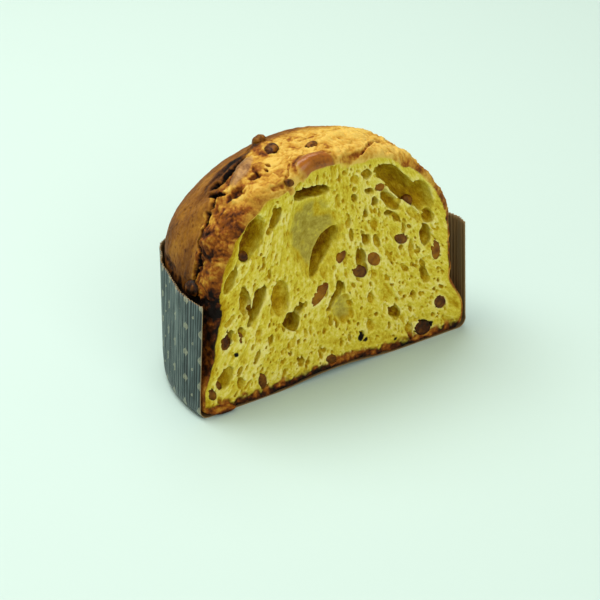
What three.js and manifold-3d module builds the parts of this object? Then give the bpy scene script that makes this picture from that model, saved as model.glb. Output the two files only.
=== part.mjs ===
// A low panettone cut in two, standing in its pleated paper case, cut face to the front.
// Millimetres, +Z up. X runs along the cut, +Y goes back into the loaf.
import * as THREE from 'three';
import { mergeVertices } from 'three/addons/utils/BufferGeometryUtils.js';
import Module from 'manifold-3d';

const wasm = await Module();
wasm.setup();

// The paper case: a mould of 200 mm, of which a little more than half is left
const CASE_RADIUS = 100;
const CASE_HEIGHT = 74;
const PAPER = 0.6;
const AXIS_BACK = 10;       // the middle of the round mould lies this far behind the cut
const RIM_LEAN = 3.4;       // near the cut the wall leans in over the waist of the loaf
const RIM_BULGE = 5.4;      // farther back the risen loaf has pushed it out again
const FLOOR_ROUND = 6;      // rounding between floor and wall
const PLEATS = 42;          // folds of the kept half
const PLEAT_DEPTH = 0.7;

// The loaf: foot in the case, waist, shoulder and dome
const GAP = 0.35;
const FOOT_RADIUS = 98.3;
const FOOT_HEIGHT = 15;
const WAIST_HEIGHT = 42;
const SHOULDER_HEIGHT = 64;
const BASE_ARCH = { height: 3, halfWidth: 46, depth: 62 };
// shoulder and waist radius, rise of the dome over the shoulder, and how square its curve is
const RIGHT = { waist: 86.6, shoulder: 87.1, rise: 82, square: 1.97 };
const BACK = { waist: 98, shoulder: 98.2, rise: 82.6, square: 2.02 };
const LEFT = { waist: 90.6, shoulder: 90.2, rise: 81, square: 2.35 };

// Places on the dome: azimuth in degrees from the right end of the cut, latitude over the shoulder.
// The sizes are millimetres, and turn is the angle of the long side to the level line.
const SWELLINGS = [
  { azimuth: 30, latitude: 50, length: 52, width: 42, turn: 0, rise: 2.2 },
  { azimuth: 138, latitude: 16, length: 74, width: 40, turn: 0, rise: 2.4 },
  { azimuth: 158, latitude: 54.2, length: 31, width: 13, turn: 141, rise: 4.2 },
  { azimuth: 186, latitude: 80, length: 30, width: 20, turn: 80, rise: 3 },
  { azimuth: 163, latitude: 37, length: 30, width: 12, turn: 60, rise: 2.4 },
  { azimuth: 176, latitude: 30, length: 34, width: 11, turn: 75, rise: 2.6 },
  { azimuth: 133, latitude: 60.5, length: 26, width: 13, turn: 28, rise: 2.2 },
  { azimuth: 183, latitude: 52, length: 22, width: 12, turn: 15, rise: 2.0 },
  { azimuth: 116, latitude: 62, length: 34, width: 20, turn: 20, rise: 1.6 },
  { azimuth: 78, latitude: 55, length: 44, width: 22, turn: -15, rise: 1.8 },
  { azimuth: 100, latitude: 28, length: 50, width: 26, turn: 10, rise: 1.6 },
];
const CRACKS = [
  { width: 9.5, depth: 7.5, along: [[137, 56.5], [143, 53.6], [147.5, 51], [152, 48], [154.5, 45], [152, 41]] },
  { width: 6, depth: 4.5, along: [[163, 43], [169, 36], [170, 29], [174, 22], [173.5, 13], [173, 5]] },
];
const CRUST_HOLLOWS = [
  { azimuth: 173.5, latitude: 47.4, length: 16, width: 12, turn: 68, depth: 5 },
  { azimuth: 152, latitude: 8, length: 22, width: 8, turn: 5, depth: 3 },
];

// Bubbles that the knife opened: x and z on the cut face, long and short width, lean of the
// long side over the level, and how far the hole goes into the loaf
const BUBBLES = [
  { x: -16.5, z: 98, long: 57, short: 35, lean: 103, depth: 11 },
  { x: -10.5, z: 84, long: 32, short: 9, lean: 55, depth: 19 },
  { x: -19.5, z: 126, long: 26, short: 8, lean: 176, depth: 17 },
  { x: -61, z: 107.5, long: 29, short: 15, lean: 66, depth: 14 },
  { x: -44.5, z: 116.5, long: 14, short: 6.5, lean: 63, depth: 8 },
  { x: -76, z: 85, long: 16, short: 7, lean: 63, depth: 8 },
  { x: -66.5, z: 67.5, long: 19, short: 8.5, lean: 94, depth: 8 },
  { x: -57.5, z: 63.5, long: 28, short: 8, lean: 65, depth: 12 },
  { x: -41, z: 63, long: 26, short: 12.5, lean: 96, depth: 11 },
  { x: -33, z: 45, long: 16, short: 10.5, lean: 106, depth: 16 },
  { x: -28.5, z: 51, long: 12, short: 6, lean: 32, depth: 11 },
  { x: -0.5, z: 51, long: 21, short: 7.5, lean: 58, depth: 12 },
  { x: 3.5, z: 42, long: 22, short: 14, lean: 107, depth: 6 },
  { x: 43.5, z: 27, long: 12, short: 8, lean: 138, depth: 9 },
  { x: 25, z: 24, long: 9, short: 6.5, lean: 115, depth: 6 },
  { x: 21, z: 83.5, long: 9, short: 6.5, lean: 132, depth: 6 },
  { x: 17, z: 72, long: 14, short: 8.5, lean: 103, depth: 8 },
  { x: 55, z: 68.5, long: 11, short: 4.5, lean: 95, depth: 5 },
  { x: 65.5, z: 74, long: 16, short: 9, lean: 102, depth: 9 },
  { x: 68.5, z: 85, long: 9.5, short: 6.5, lean: 112, depth: 6 },
  { x: 47, z: 111, long: 51, short: 17, lean: 135, depth: 20 },
  { x: 60, z: 103, long: 19, short: 13, lean: 118, depth: 9 },
  { x: 38.5, z: 105, long: 20, short: 8, lean: 132, depth: 9 },
  { x: 22.5, z: 115, long: 7.5, short: 4, lean: 157, depth: 6 },
  { x: 27, z: 107, long: 7, short: 5, lean: 119, depth: 6 },
  { x: 38, z: 96, long: 10, short: 3.5, lean: 162, depth: 7 },
  { x: 20, z: 127, long: 8, short: 6, lean: 142, depth: 6 },
  { x: 11.5, z: 125.5, long: 7.5, short: 5.5, lean: 141, depth: 4 },
  { x: 26.5, z: 92.5, long: 8.5, short: 6, lean: 108, depth: 4 },
  { x: 65.5, z: 46.5, long: 10, short: 5.5, lean: 100, depth: 8 },
  { x: 57.5, z: 35, long: 7, short: 4.5, lean: 109, depth: 5 },
  { x: 55.5, z: 12.5, long: 10, short: 4.6, lean: 97, depth: 5 },
  { x: -81, z: 22, long: 17, short: 11, lean: 56, depth: 10 },
  { x: -70, z: 15, long: 8.5, short: 5.5, lean: 104, depth: 6 },
  { x: -79, z: 47, long: 14, short: 7.5, lean: 67, depth: 9 },
  { x: -69.5, z: 50, long: 6.5, short: 4.5, lean: 110, depth: 5 },
];

// Fruit laid bare by the knife: place on the cut face, sizes, lean, how far its middle
// lies behind the cut
const RAISIN = '#4a2413';
const PEEL = '#b5722a';
const CUT_FRUIT = [
  { name: 'raisin_left_hollow', x: -66, z: 97, long: 8, short: 6, lean: 137, back: 3.5, colour: RAISIN },
  { name: 'raisin_centre', x: 16.5, z: 63, long: 11.5, short: 7.6, lean: 148, back: 1.8, colour: RAISIN },
  { name: 'peel_centre', x: 27, z: 68.5, long: 11.5, short: 8, lean: 133, back: 2.0, colour: PEEL },
  { name: 'raisin_pale', x: 2.5, z: 77, long: 9.5, short: 6, lean: 52, back: 1.9, colour: PEEL },
  { name: 'raisin_bean', x: 47.5, z: 76, long: 10, short: 6.4, lean: 150, back: 1.7, colour: RAISIN },
  { name: 'peel_drop', x: 74, z: 60.5, long: 15.6, short: 7.8, lean: 98, back: 2.3, colour: PEEL },
  { name: 'peel_block', x: -13.5, z: 56, long: 18, short: 8, lean: 41, back: 2.2, colour: PEEL },
  { name: 'raisin_right_low', x: 78.5, z: 23, long: 12.6, short: 8.6, lean: 139, back: 2.4, colour: RAISIN },
  { name: 'raisin_base_right', x: 65.5, z: 9, long: 14, short: 10.5, lean: 150, back: 2.2, colour: RAISIN },
  { name: 'raisin_base_middle', x: -4, z: 9.4, long: 8.8, short: 6, lean: 150, back: 1.5, colour: RAISIN },
  { name: 'raisin_base_left', x: -54.5, z: 11, long: 11, short: 6, lean: 99, back: 1.6, colour: RAISIN },
  { name: 'raisin_left', x: -79, z: 43, long: 12.5, short: 7.2, lean: 82, back: 4.2, colour: RAISIN },
  { name: 'raisin_left_inner', x: -70, z: 44.5, long: 8.5, short: 4.8, lean: 88, back: 2.2, colour: RAISIN },
  { name: 'raisin_corner', x: -90.5, z: 13.8, long: 11, short: 6, lean: 122, back: 2.4, colour: RAISIN },
  { name: 'raisin_crust_edge', x: -34.5, z: 136, long: 6.7, short: 4.4, lean: 150, back: 1.2, colour: RAISIN },
  { name: 'raisin_left_foot', x: -85, z: 16.5, long: 8, short: 6, lean: 132, back: 4.5, colour: RAISIN },
  { name: 'raisin_right_hollow', x: 54.5, z: 98, long: 9, short: 7, lean: 126, back: 6, colour: RAISIN },
  { name: 'peel_upper', x: 30.5, z: 115.5, long: 7.6, short: 5.4, lean: 142, back: 1.6, colour: PEEL },
  { name: 'peel_right', x: 63, z: 66.5, long: 8.8, short: 5.4, lean: 104, back: 4.5, colour: PEEL },
];
// Fruit that stands out of the crust: azimuth, latitude, sizes, turn, and how far it stands out
const CRUST_FRUIT = [
  { name: 'raisin_crown', azimuth: 114, latitude: 57, long: 10.5, short: 9, turn: 10, out: 5.6 },
  { name: 'raisin_top', azimuth: 121, latitude: 82, long: 10, short: 7, turn: 0, out: 0.8 },
  { name: 'raisin_rim', azimuth: 173, latitude: 7.5, long: 12.5, short: 9.5, turn: 12, out: 3.4 },
  { name: 'raisin_slot', azimuth: 137, latitude: 66.4, long: 13, short: 8.5, turn: 10, out: 3.6 },
];
const FRUIT_THICKNESS = 0.8;  // of the short width

const LOAF_COLOUR = '#cfb25a';
const CASE_COLOUR = '#7d8c8b';

const radians = THREE.MathUtils.degToRad;
const smooth = THREE.MathUtils.smoothstep;
const lerp = THREE.MathUtils.lerp;

// Azimuths of the mesh columns: fine over the kept half, coarse where the knife took the rest
function columnAngles(fineCount, margin, coarseCount) {
  const angles = [];
  for (let i = 0; i < fineCount; i += 1) {
    angles.push(lerp(-margin, 180 + margin, i / fineCount));
  }
  for (let i = 0; i < coarseCount; i += 1) {
    angles.push(lerp(180 + margin, 360 - margin, i / coarseCount));
  }
  return angles;
}

// Closed surface through a stack of rings, each shrinking to one point at the two ends
function ringGeometry(ringCount, angles, pointAt) {
  const columns = angles.length;
  const positions = [];
  const indices = [];
  for (let ring = 1; ring < ringCount - 1; ring += 1) {
    angles.forEach((angle) => positions.push(...pointAt(ring, angle).toArray()));
  }
  const first = positions.length / 3;
  const last = first + 1;
  positions.push(...pointAt(0, 0).toArray());
  positions.push(...pointAt(ringCount - 1, 0).toArray());
  for (let column = 0; column < columns; column += 1) {
    const next = (column + 1) % columns;
    indices.push(first, next, column);
    for (let ring = 0; ring < ringCount - 3; ring += 1) {
      const low = ring * columns;
      const high = low + columns;
      indices.push(low + column, low + next, high + next);
      indices.push(low + column, high + next, high + column);
    }
    const top = (ringCount - 3) * columns;
    indices.push(top + column, top + next, last);
  }
  const geometry = new THREE.BufferGeometry();
  geometry.setAttribute('position', new THREE.Float32BufferAttribute(positions, 3));
  geometry.setIndex(indices);
  return geometry;
}

function solidOf(geometry) {
  const bare = geometry.clone();
  bare.deleteAttribute('normal');
  bare.deleteAttribute('uv');
  const merged = mergeVertices(bare, 1e-3);
  return new wasm.Manifold(new wasm.Mesh({
    numProp: 3,
    vertProperties: Float32Array.from(merged.attributes.position.array),
    triVerts: Uint32Array.from(merged.index.array),
  }));
}

function geometryOf(solid) {
  const pieces = solid.decompose();
  pieces.sort((a, b) => b.volume() - a.volume());
  const mesh = pieces[0].getMesh();
  const geometry = new THREE.BufferGeometry();
  geometry.setAttribute('position', new THREE.Float32BufferAttribute(mesh.vertProperties, 3));
  geometry.setIndex(Array.from(mesh.triVerts));
  geometry.computeVertexNormals();
  return geometry;
}

// What the knife took away: everything in front of the cut
function takenHalf() {
  const size = 4 * CASE_RADIUS;
  const geometry = new THREE.BoxGeometry(size, size, size);
  geometry.translate(0, -size / 2, 0);
  return solidOf(geometry);
}

// A number for each side of the loaf, blended by azimuth
function bySide(azimuth, key) {
  const right = 1 - smooth(azimuth, 2, 45);
  const left = smooth(azimuth, 135, 178);
  return BACK[key] + (RIGHT[key] - BACK[key]) * right + (LEFT[key] - BACK[key]) * left;
}

// The base lifts a little in the middle of the cut and lies flat everywhere else
function archAt(x, y) {
  const away = (x / BASE_ARCH.halfWidth) ** 2 + (y / BASE_ARCH.depth) ** 2;
  return BASE_ARCH.height * Math.max(1 - away, 0) ** 2;
}

function aroundAxis(azimuth, radius, height) {
  const angle = radians(azimuth);
  const x = radius * Math.cos(angle);
  const y = AXIS_BACK + radius * Math.sin(angle);
  return new THREE.Vector3(x, y, height);
}

function onFloor(azimuth, radius, height) {
  const point = aroundAxis(azimuth, radius, height);
  point.z += archAt(point.x, point.y);
  return point;
}

function smoothDome(azimuth, latitude) {
  const power = bySide(azimuth, 'square');
  const side = Math.max(Math.cos(radians(latitude)), 0) / bySide(azimuth, 'shoulder');
  const up = Math.sin(radians(latitude)) / bySide(azimuth, 'rise');
  const reach = (side ** power + up ** power) ** (-1 / power);
  const radius = reach * Math.cos(radians(latitude));
  return aroundAxis(azimuth, radius, SHOULDER_HEIGHT + reach * Math.sin(radians(latitude)));
}

// Outward direction and level line of the dome at one place
function domeFrame(azimuth, latitude) {
  const point = smoothDome(azimuth, latitude);
  const level = smoothDome(azimuth + 1, latitude).sub(point).normalize();
  const uphill = smoothDome(azimuth, latitude + 1).sub(point).normalize();
  const out = new THREE.Vector3().crossVectors(level, uphill).normalize();
  return { point, level, uphill: new THREE.Vector3().crossVectors(out, level), out };
}

const swellingFrames = SWELLINGS.map((swelling) => ({
  ...swelling,
  ...domeFrame(swelling.azimuth, swelling.latitude),
}));

function crustAt(azimuth, latitude) {
  const point = smoothDome(azimuth, latitude);
  let rise = 0;
  swellingFrames.forEach((swelling) => {
    const away = point.clone().sub(swelling.point);
    const turn = radians(swelling.turn);
    const east = away.dot(swelling.level);
    const north = away.dot(swelling.uphill);
    const along = (east * Math.cos(turn) + north * Math.sin(turn)) / (swelling.length / 2);
    const across = (north * Math.cos(turn) - east * Math.sin(turn)) / (swelling.width / 2);
    rise += swelling.rise * Math.exp(-(along ** 2) - across ** 2);
  });
  const centre = new THREE.Vector3(0, AXIS_BACK, SHOULDER_HEIGHT);
  return point.add(point.clone().sub(centre).normalize().multiplyScalar(rise));
}

// Rings of the loaf from the middle of its base, up the side and over the dome
const floorRings = [28, 58, 90];
const footRings = [
  { radius: FOOT_RADIUS - 4.2, height: 1.4 },
  { radius: FOOT_RADIUS - 0.8, height: 5 },
  { radius: FOOT_RADIUS, height: 10 },
];
const sideHeights = [FOOT_HEIGHT, 22, 28, 34, WAIST_HEIGHT, 53];
const DOME_RINGS = 16;

function loafPoint(ring, azimuth) {
  const base = PAPER + GAP;
  if (ring === 0) {
    return onFloor(0, 0, base);
  }
  let step = ring - 1;
  if (step < floorRings.length) {
    return onFloor(azimuth, floorRings[step], base);
  }
  step -= floorRings.length;
  if (step < footRings.length) {
    return aroundAxis(azimuth, footRings[step].radius, base + footRings[step].height);
  }
  step -= footRings.length;
  if (step < sideHeights.length) {
    const waisted = smooth(sideHeights[step], FOOT_HEIGHT, WAIST_HEIGHT);
    const radius = lerp(FOOT_RADIUS, bySide(azimuth, 'waist'), waisted);
    return aroundAxis(azimuth, radius, sideHeights[step]);
  }
  step -= sideHeights.length;
  return crustAt(azimuth, 90 * step / DOME_RINGS);
}

function lumpyBall(detail, unevenness, seed) {
  const ball = new THREE.IcosahedronGeometry(1, detail);
  const position = ball.attributes.position;
  for (let i = 0; i < position.count; i += 1) {
    const p = new THREE.Vector3().fromBufferAttribute(position, i);
    const wave = Math.sin(3.1 * p.x + 2.3 * p.y + seed) + Math.sin(4.3 * p.z - 2.9 * p.x + 2 * seed);
    p.multiplyScalar(1 + unevenness * wave / 2);
    position.setXYZ(i, p.x, p.y, p.z);
  }
  return ball;
}

// An ellipsoid whose long side leans in the plane of the cut
function leaningBall(ball, place, half) {
  ball.scale(half.x, half.y, half.z);
  ball.rotateY(-radians(place.lean));
  ball.translate(place.x, place.y, place.z);
  return solidOf(ball);
}

function bubble(spec, index) {
  const detail = spec.long > 20 ? 2 : 1;
  const back = spec.depth > spec.short ? spec.depth * 0.3 : -spec.depth * 0.1;
  const half = { x: spec.long / 2, y: spec.depth - back, z: spec.short / 2 };
  const place = { x: spec.x, y: back, z: spec.z, lean: spec.lean };
  return leaningBall(lumpyBall(detail, 0.14, index), place, half);
}

// The same fruit, grown by the gap, makes its pocket in the loaf
function cutFruit(spec, index, grow) {
  const half = {
    x: spec.long / 2 + grow,
    y: spec.short * FRUIT_THICKNESS / 2 + grow,
    z: spec.short / 2 + grow,
  };
  const place = { x: spec.x, y: spec.back, z: spec.z, lean: spec.lean };
  return leaningBall(lumpyBall(1, 0.12, index + 40), place, half);
}

// Turns a ball flat on to the dome, its long side at the given angle to the level line
function onDome(ball, spec, sink) {
  const frame = domeFrame(spec.azimuth, spec.latitude);
  const place = crustAt(spec.azimuth, spec.latitude).addScaledVector(frame.out, -sink);
  const basis = new THREE.Matrix4().makeBasis(frame.level, frame.uphill, frame.out);
  ball.rotateZ(radians(spec.turn));
  ball.applyMatrix4(basis);
  ball.translate(place.x, place.y, place.z);
  return solidOf(ball);
}

function crustHollow(spec, index) {
  const ball = lumpyBall(1, 0.18, index + 60);
  ball.scale(spec.length / 2, spec.width / 2, spec.depth);
  return onDome(ball, spec, 0);
}

function crustFruit(spec, index, grow) {
  const ball = lumpyBall(1, 0.12, index + 80);
  const thickness = spec.short * FRUIT_THICKNESS;
  ball.scale(spec.long / 2 + grow, spec.short / 2 + grow, thickness / 2 + grow);
  return onDome(ball, spec, thickness / 2 - spec.out);
}

// A crack is a rounded groove laid along its line on the dome
function crack(spec) {
  const line = spec.along.map(([azimuth, latitude]) => {
    const { out } = domeFrame(azimuth, latitude);
    return crustAt(azimuth, latitude).addScaledVector(out, spec.width / 2 - spec.depth);
  });
  const route = new THREE.CatmullRomCurve3(line);
  const section = new THREE.Shape();
  section.absarc(0, 0, spec.width / 2, 0, 2 * Math.PI);
  const geometry = new THREE.ExtrudeGeometry(section, {
    curveSegments: 3,
    steps: 2 * spec.along.length,
    extrudePath: route,
    bevelEnabled: false,
  });
  return solidOf(geometry);
}

function makeLoaf() {
  const ringCount = 1 + floorRings.length + footRings.length + sideHeights.length + DOME_RINGS + 1;
  const angles = columnAngles(42, 12, 8);
  let loaf = solidOf(ringGeometry(ringCount, angles, loafPoint)).subtract(takenHalf());
  BUBBLES.forEach((spec, index) => {
    loaf = loaf.subtract(bubble(spec, index));
  });
  CRUST_HOLLOWS.forEach((spec, index) => {
    loaf = loaf.subtract(crustHollow(spec, index));
  });
  CRACKS.forEach((spec) => {
    loaf = loaf.subtract(crack(spec));
  });
  CUT_FRUIT.forEach((spec, index) => {
    loaf = loaf.subtract(cutFruit(spec, index, GAP));
  });
  CRUST_FRUIT.forEach((spec, index) => {
    loaf = loaf.subtract(crustFruit(spec, index, GAP));
  });
  return loaf;
}

// Rings of the case: out along the underside, up the outside, over the rim and back inside
function caseProfile() {
  const outside = [
    ...floorRings.map((radius) => ({ radius, height: 0, arched: true })),
    { radius: CASE_RADIUS - FLOOR_ROUND * 0.34, height: FLOOR_ROUND * 0.24 },
    { radius: CASE_RADIUS, height: FLOOR_ROUND },
    { radius: CASE_RADIUS, height: CASE_HEIGHT, rim: true },
  ];
  const inside = outside.map((ring) => ({
    ...ring,
    radius: ring.arched ? ring.radius : ring.radius - PAPER,
    height: ring.height + (ring.rim ? 0 : PAPER),
  }));
  return [...outside, ...inside.reverse()];
}

const caseRings = caseProfile();

function casePoint(ring, azimuth, fold) {
  if (ring === 0 || ring > caseRings.length) {
    return onFloor(0, 0, ring === 0 ? 0 : PAPER);
  }
  const { radius, height, arched, rim } = caseRings[ring - 1];
  if (arched) {
    return onFloor(azimuth, radius, height);
  }
  const fromCut = Math.min(azimuth, 180 - azimuth);
  const rimOffset = RIM_BULGE * smooth(fromCut, 18, 45) - RIM_LEAN;
  const pleat = height > FLOOR_ROUND / 2 ? fold * PLEAT_DEPTH / 2 : 0;
  return aroundAxis(azimuth, radius + pleat + (rim ? rimOffset : 0), height);
}

function makeCase() {
  const margin = 10;
  const angles = columnAngles(2 * PLEATS, margin, 8);
  const foldAt = (azimuth) => (angles.indexOf(azimuth) % 2 === 0 ? 1 : -1);
  const pointAt = (ring, azimuth) => casePoint(ring, azimuth, foldAt(azimuth));
  const shell = solidOf(ringGeometry(caseRings.length + 2, angles, pointAt));
  return shell.subtract(takenHalf());
}

function addPiece(group, name, solid, colour, roughness) {
  const material = new THREE.MeshStandardMaterial({ color: colour, roughness, metalness: 0 });
  const mesh = new THREE.Mesh(geometryOf(solid), material);
  mesh.name = name;
  group.add(mesh);
}

const panettone = new THREE.Group();
addPiece(panettone, 'loaf', makeLoaf(), LOAF_COLOUR, 0.85);
addPiece(panettone, 'paper_case', makeCase(), CASE_COLOUR, 0.6);
CUT_FRUIT.forEach((spec, index) => {
  addPiece(panettone, spec.name, cutFruit(spec, index, 0), spec.colour, 0.45);
});
CRUST_FRUIT.forEach((spec, index) => {
  addPiece(panettone, spec.name, crustFruit(spec, index, 0), RAISIN, 0.45);
});

// The origin is under the middle of the whole, on the surface that it stands on
const bounds = new THREE.Box3().setFromObject(panettone);
panettone.position.set(
  -(bounds.min.x + bounds.max.x) / 2,
  -(bounds.min.y + bounds.max.y) / 2,
  -bounds.min.z,
);

export default panettone;
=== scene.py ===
# Half a panettone in its pleated paper case, standing on a pale floor, cut face to the camera.
# Shapes are worked out in millimetres, y counted from the cut, and go to metres at the end.
import math
import bmesh
import bpy
import numpy as np
import openvdb
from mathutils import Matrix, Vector


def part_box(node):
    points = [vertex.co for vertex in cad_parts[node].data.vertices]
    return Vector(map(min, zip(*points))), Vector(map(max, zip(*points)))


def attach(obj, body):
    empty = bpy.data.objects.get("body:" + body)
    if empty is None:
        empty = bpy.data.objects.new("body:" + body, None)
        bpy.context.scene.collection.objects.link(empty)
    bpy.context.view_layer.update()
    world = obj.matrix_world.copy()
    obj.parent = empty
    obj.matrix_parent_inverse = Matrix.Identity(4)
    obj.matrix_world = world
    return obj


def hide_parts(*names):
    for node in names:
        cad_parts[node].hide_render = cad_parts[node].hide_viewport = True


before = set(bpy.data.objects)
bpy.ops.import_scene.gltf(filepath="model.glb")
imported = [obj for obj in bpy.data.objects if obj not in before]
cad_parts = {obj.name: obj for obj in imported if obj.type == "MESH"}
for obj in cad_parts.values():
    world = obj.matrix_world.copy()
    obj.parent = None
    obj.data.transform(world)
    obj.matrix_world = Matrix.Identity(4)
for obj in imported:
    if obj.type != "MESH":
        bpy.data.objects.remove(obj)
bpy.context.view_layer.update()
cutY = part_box("paper_case")[0][1]        # the knife went along this plane
millimetre = 0.001


# Numbers and noise

def smooth(value, low, high):
    t = np.clip((value - low) / (high - low), 0, 1)
    return t * t * (3 - 2 * t)


def softNoise(points, cell, seed):
    # smooth random field from -1 to 1 that changes over about one cell of millimetres
    size = 48
    table = np.random.default_rng(seed).random((size, size, size), dtype=np.float32) * 2 - 1
    place = points.astype(np.float32) / np.float32(cell)
    low = np.floor(place).astype(np.int32)
    part = place - low
    part = part * part * (3 - 2 * part)
    total = np.zeros(points.shape[:-1], dtype=np.float32)
    for corner in range(8):
        bits = (corner & 1, corner >> 1 & 1, corner >> 2 & 1)
        weight = np.ones_like(total)
        index = []
        for axis, bit in enumerate(bits):
            weight *= part[..., axis] if bit else 1 - part[..., axis]
            index.append((low[..., axis] + bit) % size)
        total += weight * table[index[0], index[1], index[2]]
    return total


def plates(points, cell, seed):
    # splits space into uneven cells of about that many millimetres: the distance to the nearest
    # border, 0 on it, and a number from 0 to 1 for each cell
    size = 32
    draw = np.random.default_rng(seed)
    jitter = draw.random((size, size, size, 3), dtype=np.float32)
    number = draw.random((size, size, size), dtype=np.float32)
    place = points.astype(np.float32) / np.float32(cell)
    low = np.floor(place).astype(np.int32)
    first = np.full(points.shape[:-1], 9, dtype=np.float32)
    second = first.copy()
    value = np.zeros_like(first)
    for step in np.ndindex(3, 3, 3):
        index = low + np.array(step, dtype=np.int32) - 1
        wrapped = tuple(np.moveaxis(index % size, -1, 0))
        away = np.sqrt(((index + jitter[wrapped] - place) ** 2).sum(-1))
        closer = away < first
        second = np.where(closer, first, np.minimum(second, away))
        value = np.where(closer, number[wrapped], value)
        first = np.minimum(first, away)
    return (second - first) * cell / 2, value


def layeredNoise(points, cell, seed, layers=3):
    total = softNoise(points, cell, seed)
    for layer in range(1, layers):
        total = total + softNoise(points, cell / 2 ** layer, seed + layer) / 2 ** layer
    return total


# Outer form of the loaf: azimuth round the mould's axis from the right end of the cut,
# and climb, -90 at the base, 0 at the shoulder and 90 at the crown

loaf = dict(
    voxel=0.55,   # spacing of the samples that the solid is made from
    axisBack=10.0,
    baseHeight=0.95,
    footRadius=98.3,
    footRound=8.5,
    footHeight=15.0,
    waistHeight=42.0,
    shoulderHeight=64.0,
    right=dict(waist=86.6, shoulder=87.1, rise=82.0, square=1.97),
    back=dict(waist=98.0, shoulder=98.2, rise=82.6, square=2.02),
    left=dict(waist=90.6, shoulder=90.2, rise=81.0, square=2.35),
    archHeight=3.0, archHalfWidth=46.0, archDepth=62.0,
    curl=8.0,        # how far behind the cut the crust begins to curl down
)

swellings = [   # azimuth, climb, length, width, turn from level, rise
    (30, 50, 52, 42, 0, 2.2),
    (138, 16, 74, 40, 0, 2.4),
    (158, 54.2, 30, 10.5, 141, 4.4),   # long smooth blister beside the main crack
    (133, 60.5, 26, 11, 28, 2.4),    # wrinkled skin over its upper end
    (164.5, 60, 13, 8, 144, 2.6),    # brown lump beside it
    (138, 49, 26, 7, 116, 1.6),      # pale edge of the smooth crust over the crack
    (206.5, 77.4, 27, 17, 63, 4.2),  # round blister over the cut
    (163, 37, 30, 12, 60, 2.4),
    (176, 30, 34, 11, 75, 2.6),
    (183, 52, 22, 12, 15, 2.0),
    (116, 62, 34, 20, 20, 1.6),
    (78, 55, 44, 22, -15, 1.8),
    (100, 28, 50, 26, 10, 1.6),
    (18, 52, 16, 10, 10, 2.0),
    (4, 48, 10, 8, 40, 1.4),
    (356, 17, 34, 30, 90, 2.2),      # the right shoulder bulges over the case
    (357, -24, 14, 14, 0, 1.6),
]

cracks = [
    dict(width=3.6, depth=2.0, line=[(127, 57), (130.5, 52.4), (132.2, 48.4), (137, 43.6)]),
    dict(width=5.4, depth=8.0, line=[(141, 54.5), (147.5, 50.9), (152, 47.8), (154.5, 44.8), (152, 41.1)]),
    dict(width=3.0, depth=5.0, line=[(158.5, 39.5), (163, 42), (167, 43.5)]),
    dict(width=3.0, depth=5.5, line=[(163, 41.5), (167, 38), (169.6, 33.3), (170.8, 29), (172, 25.5)]),
    dict(width=4.5, depth=5.0, line=[(168.2, 35), (169.8, 31.5)]),
    dict(width=3.0, depth=5.0, line=[(171, 25), (175, 22.5), (174.5, 19), (174, 12), (173.5, 5)]),
    dict(width=2.2, depth=1.8, line=[(280, 83), (312, 80.5), (336, 75.5), (4, 66.5), (8, 60)]),
    dict(width=2.0, depth=1.0, line=[(121, 72), (100, 76), (70, 72), (45, 62)]),
    dict(width=2.0, depth=1.2, line=[(190, 57), (193, 61), (190, 66), (180, 70)]),
]

hollows = [     # azimuth, climb, length, width, turn, depth
    (149.5, 49.8, 12, 8.5, 122, 6.0),
    (154.5, 44.0, 7, 6, 60, 5.0),
    (173.5, 47.4, 14, 10, 68, 3.6),
    (166, 63.7, 4.2, 2.6, 10, 3.6),
    (171, 61.7, 4.0, 2.4, 160, 3.6),
    (172, 57, 10, 5, 60, 2.4),
    (152, 8, 24, 8, 5, 1.2),
    (176, 18, 12, 4, 80, 2.0),
    (197, 62.5, 6, 5, 60, 2.0),
]


bake = dict(    # azimuth, climb, length, width and turn of the places baked in their own way
    amber=(206.5, 77.4, 26, 16, 63),         # round blister over the cut
    skin=(158, 54.2, 31, 11, 141),           # long smooth blister beside the main crack
    lump=(164.5, 60, 13, 8, 144),
    wrinkled=(133, 60.5, 24, 9, 28),
    scorched=(139, 49.5, 30, 8, 116),        # plate along the main crack
    scorchedSpot=(163, 42.5, 12, 6, 30),
    mantleClimb=[0, 22, 30, 36, 43, 50, 56, 61, 66],      # line where the smooth crust behind the cracks ends
    mantleAzimuth=[173, 173, 170, 168, 158, 148, 137, 124, 100],
)


def bySide(azimuth, key):
    # one number for each side of the loaf, blended round the mould's axis
    behind = azimuth < 180
    right = np.where(behind, 1 - smooth(azimuth, 2, 45), smooth(azimuth, 215, 345))
    left = np.where(behind, smooth(azimuth, 135, 178), 1 - smooth(azimuth, 215, 345))
    back = loaf["back"][key]
    return back + (loaf["right"][key] - back) * right + (loaf["left"][key] - back) * left


def smoothReach(azimuth, climb):
    # over the shoulder the distance from the middle of the dome, under it the radius
    power = bySide(azimuth, "square")
    angle = np.radians(np.clip(climb, 0, 90))
    across = np.clip(np.cos(angle), 0, 1) / bySide(azimuth, "shoulder")
    up = np.sin(angle) / bySide(azimuth, "rise")
    dome = (across ** power + up ** power) ** (-1 / power)
    height = loaf["shoulderHeight"] * (1 + np.clip(climb, -90, 0) / 90)
    waisted = smooth(height, loaf["footHeight"], loaf["waistHeight"])
    side = loaf["footRadius"] + (bySide(azimuth, "waist") - loaf["footRadius"]) * waisted
    shoulder = smooth(height, 50, loaf["shoulderHeight"])
    side = side + (bySide(azimuth, "shoulder") - bySide(azimuth, "waist")) * shoulder
    under = np.clip(1 - (height - loaf["baseHeight"]) / loaf["footRound"], 0, 1)
    side = side - loaf["footRound"] * 0.7 * (1 - np.sqrt(np.clip(1 - under ** 2, 0, 1)))
    return np.where(climb >= 0, dome, side)


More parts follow.
